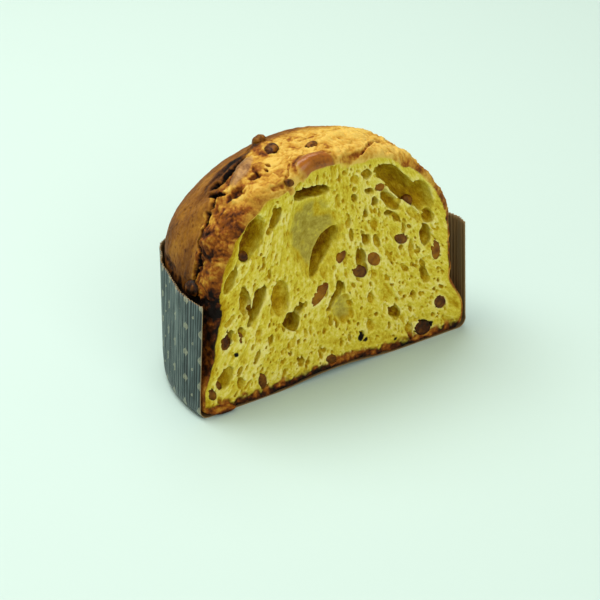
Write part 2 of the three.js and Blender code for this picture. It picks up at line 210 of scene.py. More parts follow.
def placeAt(azimuth, climb, reach):
    angle = np.radians(azimuth)
    tilt = np.radians(np.clip(climb, 0, 90))
    radius = np.where(climb >= 0, reach * np.cos(tilt), reach)
    low = loaf["shoulderHeight"] * (1 + np.clip(climb, -90, 0) / 90)
    height = np.where(climb >= 0, loaf["shoulderHeight"] + reach * np.sin(tilt), low)
    x = radius * np.cos(angle)
    y = loaf["axisBack"] + radius * np.sin(angle)
    return np.stack([x, y, height], -1)


def crustFrame(azimuth, climb):
    # point on the smooth dome with its level, uphill and outward directions
    def spot(a, c):
        a, c = np.float64(a % 360), np.float64(c)
        return placeAt(a, c, smoothReach(a, c))
    point = spot(azimuth, climb)
    level = spot(azimuth + 0.5, climb) - point
    level = level / np.linalg.norm(level)
    uphill = spot(azimuth, climb + 0.5) - point
    out = np.cross(level, uphill)
    out = out / np.linalg.norm(out)
    return point, level, np.cross(out, level), out


def patch(points, azimuth, climb, length, width, turn):
    # squared distance from a patch's middle, 1 at its edge
    point, level, uphill, _ = crustFrame(azimuth, climb)
    away = points - point
    east = away @ level
    north = away @ uphill
    angle = math.radians(turn)
    along = (east * math.cos(angle) + north * math.sin(angle)) / (length / 2)
    across = (north * math.cos(angle) - east * math.sin(angle)) / (width / 2)
    depth = (away @ np.cross(level, uphill)) / 12
    return along ** 2 + across ** 2 + depth ** 2


def inPatch(points, shape, uneven, low=0.75, high=1.05):
    # 1 within a patch and 0 outside it, its edge made uneven
    return 1 - smooth(np.sqrt(patch(points, *shape)) + uneven, low, high)


def distanceToLine(points, line):
    corners = [crustFrame(azimuth, climb)[0] for azimuth, climb in line]
    nearest = np.full(points.shape[:-1], 1e6)
    for start, end in zip(corners, corners[1:]):
        step = end - start
        t = np.clip(((points - start) @ step) / (step @ step), 0, 1)
        away = points - start - t[..., None] * step
        nearest = np.minimum(nearest, np.sqrt((away ** 2).sum(-1)))
    return nearest


# The crust as a map over azimuth and climb: its relief, and how hard each place was baked

mapStep = 0.25
mapAzimuth = np.arange(0, 360, mapStep)
mapClimb = np.arange(-90, 90.1, mapStep)


def makeCrustMap():
    azimuth, climb = np.meshgrid(mapAzimuth, mapClimb, indexing="ij")
    reach = smoothReach(azimuth, climb)
    points = placeAt(azimuth, climb, reach).astype(np.float32)
    relief = np.zeros_like(reach)
    behind = smooth(azimuth, 40, 80) * (1 - smooth(azimuth, 200, 320))
    for a, c, length, width, turn, rise in swellings:
        relief += rise * np.exp(-patch(points, a, c, length, width, turn))
    form = reach + relief

    # behind the cracks the crust is a smooth skin, before them it is torn and flaky
    edge = np.interp(climb, bake["mantleClimb"], bake["mantleAzimuth"])
    warp = np.stack([softNoise(points, 6, seed) for seed in (5, 6, 7)], -1) * 2.5
    edge = edge + 2.5 * warp[..., 0]
    mantle = smooth(azimuth, 35, 70) * (1 - smooth(azimuth - edge, -2, 2)) * (1 - smooth(climb, 58, 68))
    amber = inPatch(points, bake["amber"], 0.06 * warp[..., 1])
    skin = inPatch(points, bake["skin"], 0.05 * warp[..., 1])
    lump = inPatch(points, bake["lump"], 0.1 * warp[..., 2])
    lump = np.maximum(lump, inPatch(points, bake["wrinkled"], 0.15 * warp[..., 0], 0.6, 1.1))
    calm = np.clip(mantle + amber + skin, 0, 1)
    border, number = plates(points + warp, 8, 12)
    fineBorder, fineNumber = plates(points * np.float32([1, 1, 0.8]) + warp, 2.7, 13)
    tear = np.exp(-(border / 0.5) ** 2) * smooth(softNoise(points, 11, 14), 0.0, 0.4)
    fineTear = np.exp(-(fineBorder / 0.35) ** 2) * smooth(softNoise(points, 7, 15), -0.1, 0.4)
    flakes = np.abs(layeredNoise(points + 2 * warp, 7, 16, 4))
    rough = 0.55 * (number - 0.5) - 0.5 * tear + 0.25 * (fineNumber - 0.5) - 0.3 * fineTear
    rough += 1.2 * (flakes - 0.3) + 0.5 * layeredNoise(points, 5, 21, 4)
    rough -= 0.5 * np.abs(layeredNoise(points + 2 * warp, 2.4, 26, 3))
    streaks = layeredNoise(points * np.float32([1, 1, 0.4]), 4.2, 31, 4)
    wrinkle = 0.22 * streaks
    fine = 0.2 * layeredNoise(points, 1.6, 41, 2)
    above = smooth(climb, -25, 4)
    relief += above * ((1 - calm) * rough + mantle * wrinkle) + fine * (1 - 0.7 * np.maximum(amber, skin))
    right = 1 - smooth(np.minimum(azimuth, 360 - azimuth), 20, 40)
    bulging = 1.3 * right * smooth(climb, -55, -20) * (1 - smooth(climb, 50, 65))
    relief += bulging * layeredNoise(points, 10, 91, 2)

    torn = layeredNoise(points, 3.6, 51, 4)
    dark = np.zeros_like(reach)
    near = np.zeros_like(reach)
    for crack in cracks:
        size = crack["width"]
        away = distanceToLine(points, crack["line"])
        near = np.maximum(near, np.exp(-(away / (size * 1.6)) ** 2) * min(crack["depth"] / 4, 1))
        away = away + min(0.3 * size, 1.2) * torn
        inside = 1 - smooth(away, size * 0.26, size * 0.55)
        lip = np.exp(-((away - size * 0.75) / (size * 0.3)) ** 2)
        relief += 0.12 * crack["depth"] * lip - crack["depth"] * inside
        # painted shade inside the crack, darker the deeper it is
        dark = np.maximum(dark, (1 - smooth(away, size * 0.34, size * 0.56)) * min(crack["depth"] / 5, 1))
    for a, c, length, width, turn, depth in hollows:
        away = np.sqrt(patch(points, a, c, length, width, turn)) + 0.3 * torn
        relief -= depth * (1 - smooth(away, 0.4, 1.0))
        # painted shade inside the hollow
        dark = np.maximum(dark, (1 - smooth(away, 0.7, 1.15)) * min(depth / 5, 1))

    # darker at the rim and browner round the cracks, painted shade inside the cracks and hollows, golden
    # where the crust tore late
    rim = (1 - smooth(climb + 5 * torn, 0, 12)) * behind
    late = (1 - mantle) * smooth(climb + 3 * warp[..., 2], 32, 56)
    toast = 0.61 + 0.15 * layeredNoise(points, 15, 61, 3) - 0.33 * late - 0.12 * (1 - behind)
    toast += (1 - calm) * (0.1 * (number - 0.5) + 0.08 * tear + 0.06 * (fineNumber - 0.5))
    toast += (1 - calm) * (0.17 * layeredNoise(points, 5, 62, 3) - 0.22 * (flakes - 0.3))
    # the dark added here from the cracks and hollows is painted shade
    toast += mantle * (0.1 * streaks - 0.06) + 0.06 * near + 0.34 * rim + 0.6 * dark + 0.42 * lump
    toast += 0.34 * np.exp(-patch(points, *bake["scorched"]) ** 2)
    toast += 0.3 * np.exp(-patch(points, *bake["scorchedSpot"]) ** 2)
    # painted shade: a darker line round the edge of the round blister
    ring = np.sqrt(patch(points, *bake["amber"]))
    toast += 0.28 * np.exp(-((ring - 1.05) / 0.13) ** 2)
    toast += 0.28 * mantle * smooth(layeredNoise(points, 1.9, 34, 3), 0.3, 1.0)
    toast += 0.2 * behind * (1 - smooth(climb + 3 * torn, 2, 9)) * smooth(azimuth, 140, 165)
    toast += skin * (0.12 * layeredNoise(points * np.float32([0.7, 0.7, 0.35]), 1.6, 33, 3) + 0.02)
    toast += 0.07 * (1 - mantle) * (1 - smooth(climb, 25, 45))
    reach = reach + relief
    return dict(form=form, reach=reach, toast=toast, mantle=mantle, skin=skin, amber=amber, dark=dark)


def lookUp(grid, azimuth, climb):
    a = (azimuth % 360) / mapStep
    c = (np.clip(climb, -90, 90) + 90) / mapStep
    a0 = a.astype(np.int32)
    c0 = np.minimum(c.astype(np.int32), grid.shape[1] - 2)
    da, dc = a - a0, c - c0
    a0 = a0 % grid.shape[0]
    a1 = (a0 + 1) % grid.shape[0]
    low = grid[a0, c0] * (1 - da) + grid[a1, c0] * da
    high = grid[a0, c0 + 1] * (1 - da) + grid[a1, c0 + 1] * da
    return low * (1 - dc) + high * dc


def toCrust(x, y, z):
    # azimuth, climb and distance of any point, matching placeAt
    back = y - loaf["axisBack"]
    radius = np.hypot(x, back)
    azimuth = np.degrees(np.arctan2(back, x)) % 360
    rise = z - loaf["shoulderHeight"]
    over = rise >= 0
    onDome = np.degrees(np.arctan2(rise, np.maximum(radius, 1e-6)))
    climb = np.where(over, onDome, 90 * rise / loaf["shoulderHeight"])
    away = np.where(over, np.hypot(radius, rise), radius)
    return azimuth, climb, away


def rollOff(x, y, z):
    # the crust curls down over the cut, most on the crown and hardly at all inside the case
    crown = 5.2 + 1.8 * np.exp(-((x + 15) / 28) ** 2) - 2.4 * smooth(x, 5, 40)
    amount = 1.2 + crown * smooth(z, 42, 74)
    return amount * (1 - np.sqrt(1 - np.clip(1 - y / loaf["curl"], 0, 0.999) ** 2))


def baseAt(x, y):
    away = (x / loaf["archHalfWidth"]) ** 2 + (y / loaf["archDepth"]) ** 2
    return loaf["baseHeight"] + loaf["archHeight"] * np.clip(1 - away, 0, 1) ** 2


crustMap = makeCrustMap()
for name in crustMap:
    crustMap[name] = crustMap[name].astype(np.float32)
print("crust mapped")

# Bubbles that the knife opened, the large ones close to those of the solid:
# x, z, long, short, lean, depth, unevenness

lined = [           # the ones with a thin greyish skin
    (-16.5, 98, 57, 35, 103, 6, 0.06),       # broad shallow bowl
    (-14, 95, 40, 24, 100, 7, 0.05),
    (3.5, 42, 22, 14, 107, 4.5, 0.12),
    (39, 121, 16, 9, 146, 15, 0.10),         # upper end of the great hollow
]
bubbles = [
    (-9.2, 84, 34, 9.5, 55, 17, 0.08),        # slot in the foot of the bowl
    (-19.5, 125.5, 27, 9, 176, 18, 0.14),    # undercut along its top
    (-61, 107.5, 29, 15, 66, 14, 0.08),
    (-44.5, 116.5, 15, 6.5, 63, 8, 0.08),
    (-76, 85, 17, 7, 63, 8, 0.10),
    (-66.5, 67.5, 19, 8.5, 94, 9, 0.16),
    (-57.5, 63.5, 29, 8, 65, 13, 0.10),
    (-41, 63, 26, 12.5, 96, 9, 0.10),
    (-33, 45, 16, 10.5, 106, 17, 0.14),
    (-28.5, 51, 13, 6, 32, 12, 0.14),
    (-0.5, 51, 21, 7.5, 58, 12, 0.10),
    (43.5, 27, 12, 8, 138, 10, 0.16),
    (25, 24, 9, 6.5, 115, 4, 0.16),
    (21, 83.5, 9, 6.5, 132, 6, 0.16),
    (17, 72, 14, 8.5, 103, 9, 0.10),
    (55, 68.5, 12, 4.5, 95, 4, 0.10),
    (48.6, 83.4, 7, 3.2, 96, 4, 0.10),
    (65.5, 74, 16, 9, 102, 10, 0.10),
    (68.5, 85, 9.5, 7, 112, 8, 0.12),
    (47, 111.5, 50, 14, 135, 17, 0.07),      # great hollow at the upper right
    (36.5, 123, 22, 11, 150, 14, 0.08),
    (62.5, 100, 27, 14, 118, 13, 0.06),
    (38, 104.5, 21, 7.5, 132, 9, 0.10),      # under its thin wall
    (22.5, 115, 8, 4, 157, 8, 0.16),
    (27, 107, 7, 5, 119, 8, 0.16),
    (38, 96, 10, 3.5, 162, 8, 0.18),
    (20, 127, 8, 6, 142, 7, 0.12),
    (11.5, 125.5, 7.5, 5.5, 141, 2.5, 0.10),
    (4.3, 132, 4, 3, 141, 3, 0.10),
    (11.6, 113.5, 6, 4.3, 115, 5, 0.10),
    (20, 101, 5.5, 3.6, 105, 5, 0.12),
    (26.5, 92.5, 8.5, 6, 108, 2.5, 0.10),
    (65.5, 46.5, 10, 5.5, 100, 7, 0.14),
    (57.5, 35, 7, 4.5, 109, 4, 0.14),
    (55.5, 12.5, 10, 4.6, 97, 5, 0.16),
    (-81, 22, 17, 11, 56, 9, 0.10),
    (-70, 15, 8.5, 5.5, 104, 5, 0.12),
    (-79, 47, 14, 7.5, 67, 9, 0.10),
    (-69.5, 50, 6.5, 4.5, 110, 6, 0.14),
]
burntSpecks = [(17.9, 17.9, 2.7), (22.0, 14.5, 1.8), (71.9, 9.7, 2.4), (44, 8.5, 1.6), (-73, 35.6, 1.8)]

# Fruit, as on the solid: x, z, long, short, lean, how far the middle lies behind the cut
cutFruit = {
    "raisin_left_hollow": (-66, 97, 8, 6, 137, 3.5),
    "raisin_centre": (16.5, 63, 11.5, 7.6, 148, 1.8),
    "peel_centre": (27, 68.5, 11.5, 8, 133, 2.0),
    "raisin_pale": (2.5, 77, 9.5, 6, 52, 1.9),
    "raisin_bean": (47.5, 76, 10, 6.4, 150, 1.7),
    "peel_drop": (74, 60.5, 15.6, 7.8, 98, 2.3),
    "peel_block": (-13.5, 56, 18, 8, 41, 2.2),
    "raisin_right_low": (78.5, 23, 12.6, 8.6, 139, 2.4),
    "raisin_base_right": (65.5, 9, 14, 10.5, 150, 2.2),
    "raisin_base_middle": (-4, 9.4, 8.8, 6, 150, 1.5),
    "raisin_base_left": (-54.5, 11, 11, 6, 99, 1.6),
    "raisin_left": (-79, 43, 12.5, 7.2, 82, 4.2),
    "raisin_left_inner": (-70, 44.5, 8.5, 4.8, 88, 2.2),
    "raisin_corner": (-90.5, 13.8, 11, 6, 122, 2.4),
    "raisin_crust_edge": (-34.5, 136, 6.7, 4.4, 150, 1.2),
    "raisin_left_foot": (-85, 16.5, 8, 6, 132, 4.5),
    "raisin_right_hollow": (54.5, 98, 9, 7, 126, 6),
    "peel_upper": (30.5, 115.5, 7.6, 5.4, 142, 1.6),
    "peel_right": (63, 66.5, 8.8, 5.4, 104, 4.5),
}
crustFruit = {      # azimuth, climb, long, short, turn, how far it stands out
    "raisin_crown": (114, 57, 10.5, 9, 10, 5.6),
    "raisin_top": (121, 82, 10, 7, 0, 0.8),
    "raisin_rim": (173, 7.5, 12.5, 9.5, 12, 3.4),
    "raisin_slot": (137, 66.4, 13, 8.5, 10, 3.6),
}
fruitThickness = 0.8     # of the short width

crumb = dict(
    pores=[(1500, 0.4, 0.75), (430, 0.75, 1.2), (140, 1.2, 1.9), (24, 1.9, 2.8)],   # number and radii
    flow=97, flowTurn=0.45,                # lean of the pores in the middle, and its change along the cut
    flowMiddle=15.5, flowSpread=0.00785,   # the same lean, as lines that draw together upwards
    dent=5.2, cell=1.9, grain=1.2, strand=2.6,   # width of the shallow dents, cells and strands laid bare
)


def leanAt(x):
    return np.clip(crumb["flow"] + crumb["flowTurn"] * x, 62, 128)


def withFlow(x, y, z, stretch):
    across = (x + crumb["flowMiddle"]) * np.exp(crumb["flowSpread"] * (z - 60))
    return np.stack(np.broadcast_arrays(across, y, z / stretch), -1).astype(np.float32)


def pits(points, cell, seed, least):
    # 0 on the level crumb, up to 1 in separate shallow pits
    return smooth(layeredNoise(points, cell, seed, 2), least, least + 0.55)


def loafGrid():
    # close samples at the cut, wider ones towards the back
    step = loaf["voxel"]
    xs = np.arange(-101, 101, step, dtype=np.float32)
    zs = np.arange(-1, 152, step, dtype=np.float32)
    ys = [-4.0]
    while ys[-1] < 111:
        ys.append(ys[-1] + step * (1 + 0.45 * smooth(ys[-1], 8, 30)))
    return xs, np.array(ys, dtype=np.float32), zs


def carve(field, axes, middle, turnAxes, halves, unevenness, seed, blend):
    # takes an uneven ellipsoid out of the field, working only on the samples near it
    xs, ys, zs = axes
    reach = max(halves) * (1 + unevenness) + 1.5
    slices = []
    for line, centre in zip(axes, middle):
        low = np.searchsorted(line, centre - reach)
        high = np.searchsorted(line, centre + reach)
        slices.append(slice(low, high))
    box = field[slices[0], slices[1], slices[2]]
    if box.size == 0:
        return
    x = xs[slices[0]][:, None, None] - middle[0]
    y = ys[slices[1]][None, :, None] - middle[1]
    z = zs[slices[2]][None, None, :] - middle[2]
    away = 0
    for direction, half in zip(turnAxes, halves):
        away = away + ((x * direction[0] + y * direction[1] + z * direction[2]) / half) ** 2
    away = np.sqrt(away)
    if unevenness:
        points = np.stack(np.broadcast_arrays(x, y, z), -1)
        away = away + unevenness * layeredNoise(points + 50, max(min(halves) * 0.9, 1.8), seed, 2)
    hole = (1 - away) * min(halves)
    gap = np.clip(0.5 + 0.5 * (hole - box) / blend, 0, 1)
    box[...] = box + (hole - box) * gap + blend * gap * (1 - gap)


def leanAxes(lean):
    angle = math.radians(lean)
    along = (math.cos(angle), 0, math.sin(angle))
    across = (-math.sin(angle), 0, math.cos(angle))
    return along, (0, 1, 0), across


def makeLoafField():
    xs, ys, zs = axes = loafGrid()
    field = np.empty((len(xs), len(ys), len(zs)), dtype=np.float32)
    for low in range(0, len(xs), 24):
        x, y, z = np.meshgrid(xs[low:low + 24], ys, zs, indexing="ij", sparse=True)
        azimuth, climb, away = toCrust(x, y, z)
        field[low:low + 24] = away - lookUp(crustMap["reach"], azimuth, climb) + rollOff(x, y, z)
    x, y, z = np.meshgrid(xs, ys, zs, indexing="ij", sparse=True)
    base = baseAt(x, y).astype(np.float32)
    np.maximum(field, base - z, out=field)
    print("crust in place", field.shape)

    # the torn face of the cut, with thin walls that follow the rise of the dough
    slab = int(np.searchsorted(ys, 9))
    outer = field[:, :slab].copy()
    face = np.stack(np.broadcast_arrays(x, 0 * x, z), -1)[:, 0]
    ragged = 0.45 * layeredNoise(face + 300, 13, 75, 3)
    bottomCrust = 1 - smooth(z[:, 0] - base[:, 0], 3, 6)
    cut = 0.25 + ragged - 0.9 * bottomCrust * softNoise(face, 6, 77)
    flake = ((x[:, 0] + 84) / 11) ** 2 + ((z[:, 0] - 2.6) / 2.6) ** 2
    cut = cut - 3.2 * smooth(1 - flake + 0.5 * ragged, 0, 0.7)
    np.maximum(field, cut[:, None, :].astype(np.float32) - y, out=field)
    near = y[:, :slab]
    inner = smooth(-outer, 2.0, 6.0).astype(np.float32) * (1 - smooth(near, 6, 9)).astype(np.float32)
    openness = 1 + 0.9 * softNoise(withFlow(x, near, z, 1.5), 16, 70)
    dents = pits(withFlow(x, near, z, 2.6), crumb["dent"], 71, 0.25)
    cells = pits(withFlow(x, near, z, 1.8), crumb["cell"], 81, 0.3)
    grain = layeredNoise(withFlow(x, near, z, 1.4), crumb["grain"], 91, 2)
    strands = layeredNoise(withFlow(x, near, z, 5), crumb["strand"], 95, 2) * smooth(-outer, 5, 14)
    field[:, :slab] += inner * (openness * (0.9 * dents + 0.5 * cells + 0.3 * strands) + 0.24 * grain)
    baked = smooth(-outer, 0.3, 1.5) * (1 - smooth(z - base[:, :1], 5, 8)) * (1 - smooth(near, 6, 9))
    field[:, :slab] += (baked * 0.5 * layeredNoise(withFlow(x, near, z, 1), 1.7, 97, 2)).astype(np.float32)
    print("crumb torn")

    draw = np.random.default_rng(7)
    for count, least, most in crumb["pores"]:
        for _ in range(count):
            px = draw.uniform(-96, 90)
            pz = draw.uniform(3, 144)
            radius = draw.uniform(least, most)
            stretch = draw.uniform(1.0, 2.4 if radius < 1.2 else 3.0)
            back = draw.uniform(-0.35, 0.75) * radius + 0.4
            leanHere = leanAt(px) + draw.normal(0, 10)
            i = np.searchsorted(xs, px)
            k = np.searchsorted(zs, pz)
            if outer[i, 8, k] > -4.2 - 1.8 * radius:
                continue
            halves = (radius * stretch, radius * 1.3, radius)
            uneven = 0.16 if radius > 1.2 else 0
            carve(field, axes, (px, back, pz), leanAxes(leanHere), halves, uneven, int(px * 7) % 97, 0.3)
    film = np.full_like(field, -4)
    for seed, (bx, bz, length, short, lean, depth, uneven) in enumerate(lined + bubbles):
        back = depth * 0.3 if depth > short else -depth * 0.1
        halves = np.array((length / 2, depth - back, short / 2))
        carve(field, axes, (bx, back, bz), leanAxes(lean), halves, uneven, 100 + seed, 0.4 + 0.05 * short)
        if seed < len(lined):
            carve(film, axes, (bx, back, bz), leanAxes(lean), halves + 2, uneven * 0.8, 100 + seed, 0.1)
    for name, (fx, fz, length, short, lean, back) in cutFruit.items():
        halves = (length / 2, short * fruitThickness / 2, short / 2)
        carve(field, axes, (fx, back, fz), leanAxes(lean), halves, 0, 0, 0.2)
    for name, (a, c, length, short, turn, out) in crustFruit.items():
        middle, along, across, normal = fruitPlace(a, c, short, turn, out)
        halves = (length / 2, short / 2, short * fruitThickness / 2)
        carve(field, axes, tuple(middle), (along, across, normal), halves, 0, 0, 0.2)
    print("bubbles carved")
    return axes, field, film


def boxMean(values, reach):
    # mean over a small box of samples round each one
    for axis in range(3):
        values = np.moveaxis(values, axis, 0)
        padded = np.concatenate([values[:1]] * (reach + 1) + [values] + [values[-1:]] * reach)
        total = np.cumsum(padded, axis=0, dtype=np.float32)
        values = (total[2 * reach + 1:] - total[:-2 * reach - 1]) / (2 * reach + 1)
        values = np.moveaxis(values, 0, axis)
    return values


def fruitPlace(azimuth, climb, short, turn, out):
    point, level, uphill, normal = crustFrame(azimuth, climb)
    angle = math.radians(turn)
    along = level * math.cos(angle) + uphill * math.sin(angle)
    across = uphill * math.cos(angle) - level * math.sin(angle)
    point = point + normal * (out - short * fruitThickness / 2 + 0.3)
    return point, along, across, normal


def toMetres(points):
    placed = np.asarray(points, dtype=np.float64) * millimetre
    placed[:, 1] += cutY
    return placed


def meshPiece(name, points, faces, materials, smoothFaces=True):
    mesh = bpy.data.meshes.new(name)
    faces = np.asarray(faces, dtype=np.int32)
    corners = faces.shape[1]
    mesh.vertices.add(len(points))
    mesh.vertices.foreach_set("co", toMetres(points).astype(np.float32).ravel())
    mesh.loops.add(faces.size)
    mesh.loops.foreach_set("vertex_index", faces.ravel())
    mesh.polygons.add(len(faces))
    mesh.polygons.foreach_set("loop_start", np.arange(0, faces.size, corners, dtype=np.int32))
    mesh.update(calc_edges=True)
    mesh.validate()
    mesh.polygons.foreach_set("use_smooth", np.full(len(mesh.polygons), smoothFaces))
    for material in materials:
        mesh.materials.append(material)
    piece = bpy.data.objects.new(name, mesh)
    bpy.context.collection.objects.link(piece)
    return piece


def storeMask(piece, name, values):
    mask = piece.data.attributes.new(name, "FLOAT", "POINT")
    mask.data.foreach_set("value", np.asarray(values, dtype=np.float32))


def sample(field, axes, points):
    # value of a field between its samples
    lows, parts = [], []
    for line, values in zip(axes, points.T):
        place = np.interp(values, line, np.arange(len(line)))
        low = np.clip(place.astype(np.int32), 0, len(line) - 2)
        lows.append(low)
        parts.append(place - low)
    total = 0
    for corner in range(8):
        bits = (corner & 1, corner >> 1 & 1, corner >> 2 & 1)
        weight = 1
        for part, bit in zip(parts, bits):
            weight = weight * (part if bit else 1 - part)
        total = total + weight * field[lows[0] + bits[0], lows[1] + bits[1], lows[2] + bits[2]]
    return total


# Materials

def linear(hexColour):
    channels = [int(hexColour[i:i + 2], 16) / 255 for i in (1, 3, 5)]
    return [c / 12.92 if c <= 0.04045 else ((c + 0.055) / 1.055) ** 2.4 for c in channels] + [1.0]


def newMaterial(name):
    material = bpy.data.materials.new(name)
    material.use_nodes = True
    return material, material.node_tree.nodes["Principled BSDF"]


def addNode(material, kind, settings=None, inputs=None):
    # one node with its settings, and its inputs set or linked
    tree = material.node_tree
    node = tree.nodes.new(kind)
    for key, value in (settings or {}).items():
        setattr(node, key, value)
    for key, value in (inputs or {}).items():
        socket = node.inputs[key]
        if isinstance(value, bpy.types.NodeSocket):
            tree.links.new(value, socket)
        else:
            socket.default_value = value
    return node


def setSockets(shader, values):
    for name, value in values.items():
        shader.inputs[name].default_value = value


def attribute(material, name, output="Fac"):
    return addNode(material, "ShaderNodeAttribute", {"attribute_name": name}).outputs[output]


def mathNode(material, operation, *values):
    settings = {"operation": operation}
    return addNode(material, "ShaderNodeMath", settings, dict(enumerate(values))).outputs["Value"]


def mixColours(material, factor, first, second, blend="MIX"):
    settings = {"data_type": "RGBA", "blend_type": blend}
    return addNode(material, "ShaderNodeMix", settings, {0: factor, 6: first, 7: second}).outputs[2]


def noiseNode(material, vector, scale, detail, rough=0.5):
    return addNode(material, "ShaderNodeTexNoise", inputs={
        "Vector": vector, "Scale": scale, "Detail": detail, "Roughness": rough}).outputs["Fac"]


def addBump(material, shader, height):
    bump = addNode(material, "ShaderNodeBump", inputs={
        "Height": height, "Strength": 0.4, "Distance": 0.0006})
    joinTo(material, bump.outputs["Normal"], shader.inputs["Normal"])


def joinTo(material, output, socket):
    material.node_tree.links.new(output, socket)


def addRamp(material, factor, stops):
    node = addNode(material, "ShaderNodeValToRGB", inputs={"Fac": factor})
    ramp = node.color_ramp
    while len(ramp.elements) < len(stops):
        ramp.elements.new(0.5)
    for element, (position, hexColour) in zip(ramp.elements, stops):
        element.position = position
        element.color = linear(hexColour)
    return node.outputs["Color"]


bread = dict(
    crumbPale="#ebde88", crumb="#d2c03c", crumbDeep="#b1900a", cavityShade="#764a00",
    film="#ae9e42", filmDeep="#907c24",
    goldenPale="#d8b454", golden="#c08f30", brown="#8a4c10", dark="#451f06", burnt="#100804",
    mantlePale="#9e6c20", mantle="#7a4a12", mantleDark="#4a280a",
    skinPale="#b38648", skin="#6c4018", amberPale="#a05c08", amber="#5a2c00",
    poreSize=0.9, strandSize=3.0, mottleSize=13.0, crackleSize=2.2,      # millimetres
)


def makeBread():
    # Baked egg dough: the crumb is a moist sponge that light enters, the crust a dry browned skin
    material, shader = newMaterial("bakedEggDough")
    place = addNode(material, "ShaderNodeTexCoord").outputs["Object"]
    flow = attribute(material, "flow", "Vector")

    def mask(name):
        return attribute(material, name)

    def noise(vector, size, detail=3.0, rough=0.55):
        return noiseNode(material, vector, 1000 / size, detail, rough)

    def combine(*values):
        return mathNode(material, *values)

    def mixed(*values):
        return mixColours(material, *values)

    # crumb: painted light makes it pale on the thin walls and painted shade deep yellow to brown in the
    # cells, greyish skin in the great bubbles
    cells = noise(flow, bread["poreSize"], 2.0)
    mottle = noise(place, bread["mottleSize"], 4.0)
    strands = noise(flow, bread["strandSize"], 3.0)
    tone = combine("ADD", combine("MULTIPLY", cells, 0.4), combine("MULTIPLY", mottle, 0.55))
    tone = combine("ADD", tone, combine("MULTIPLY", combine("SUBTRACT", strands, 0.56), 0.5))
    tone = combine("ADD", tone, mask("shadingAndTone"))
    # the ramp's dark end is painted shade in the pores, its pale end painted light on the thin walls; the
    # noise between is the crumb's own tone
    crumbColour = addRamp(material, tone, [
        (0.0, bread["cavityShade"]), (0.26, bread["crumbDeep"]),
        (0.50, bread["crumb"]), (0.78, bread["crumbPale"])])
    swirl = combine("MULTIPLY", combine("SUBTRACT", noise(place, 4.5, 5.0, 0.65), 0.5), 1.0)
    skinTone = combine("ADD", combine("MULTIPLY", noise(place, 1.8, 5.0), 0.6), swirl)
    skinTone = combine("ADD", skinTone, mask("shadingAndTone"))
    filmColour = addRamp(material, skinTone, [
        (0.06, bread["filmDeep"]), (0.32, bread["film"]), (0.6, bread["crumb"])])
    crumbColour = mixed(mask("film"), crumbColour, filmColour)

    crackle = noise(place, bread["crackleSize"], 4.0, 0.65)
    level = combine("ADD", mask("toast"), combine("MULTIPLY", combine("SUBTRACT", crackle, 0.5), 0.6))
    torn = addRamp(material, level, [
        (0.10, bread["goldenPale"]), (0.36, bread["golden"]), (0.60, bread["brown"]),
        (0.82, bread["dark"]), (1.0, bread["burnt"])])
    mantle = addRamp(material, level, [
        (0.28, bread["mantlePale"]), (0.56, bread["mantle"]),
        (0.84, bread["mantleDark"]), (1.0, bread["burnt"])])
    blister = addRamp(material, level, [
        (0.3, bread["skinPale"]), (0.62, bread["skin"]), (0.95, bread["burnt"])])
    amber = addRamp(material, level, [
        (0.2, bread["amberPale"]), (0.5, bread["amber"]), (0.9, bread["burnt"])])
    crustColour = mixed(mask("mantle"), torn, mantle)
    crustColour = mixed(mask("skin"), crustColour, blister)
    crustColour = mixed(mask("amber"), crustColour, amber)
    joinTo(material, mixed(mask("crust"), crumbColour, crustColour), shader.inputs["Base Color"])

    gloss = combine("SUBTRACT", 0.72, combine("MULTIPLY", mask("crust"), 0.12))
    joinTo(material, combine("ADD", gloss, combine("MULTIPLY", crackle, 0.1)), shader.inputs["Roughness"])
    setSockets(shader, {
        "IOR": 1.45, "Specular IOR Level": 0.12, "Coat Roughness": 0.18, "Coat IOR": 1.4,
        "Subsurface Weight": 0.15, "Subsurface Radius": (1.0, 0.75, 0.25), "Subsurface Scale": 0.003})
    glaze = combine("ADD", combine("MULTIPLY", mask("amber"), 0.9), combine("MULTIPLY", mask("skin"), 0.25))
    joinTo(material, glaze, shader.inputs["Coat Weight"])
    addBump(material, shader, combine("ADD", cells, crackle))
    return material


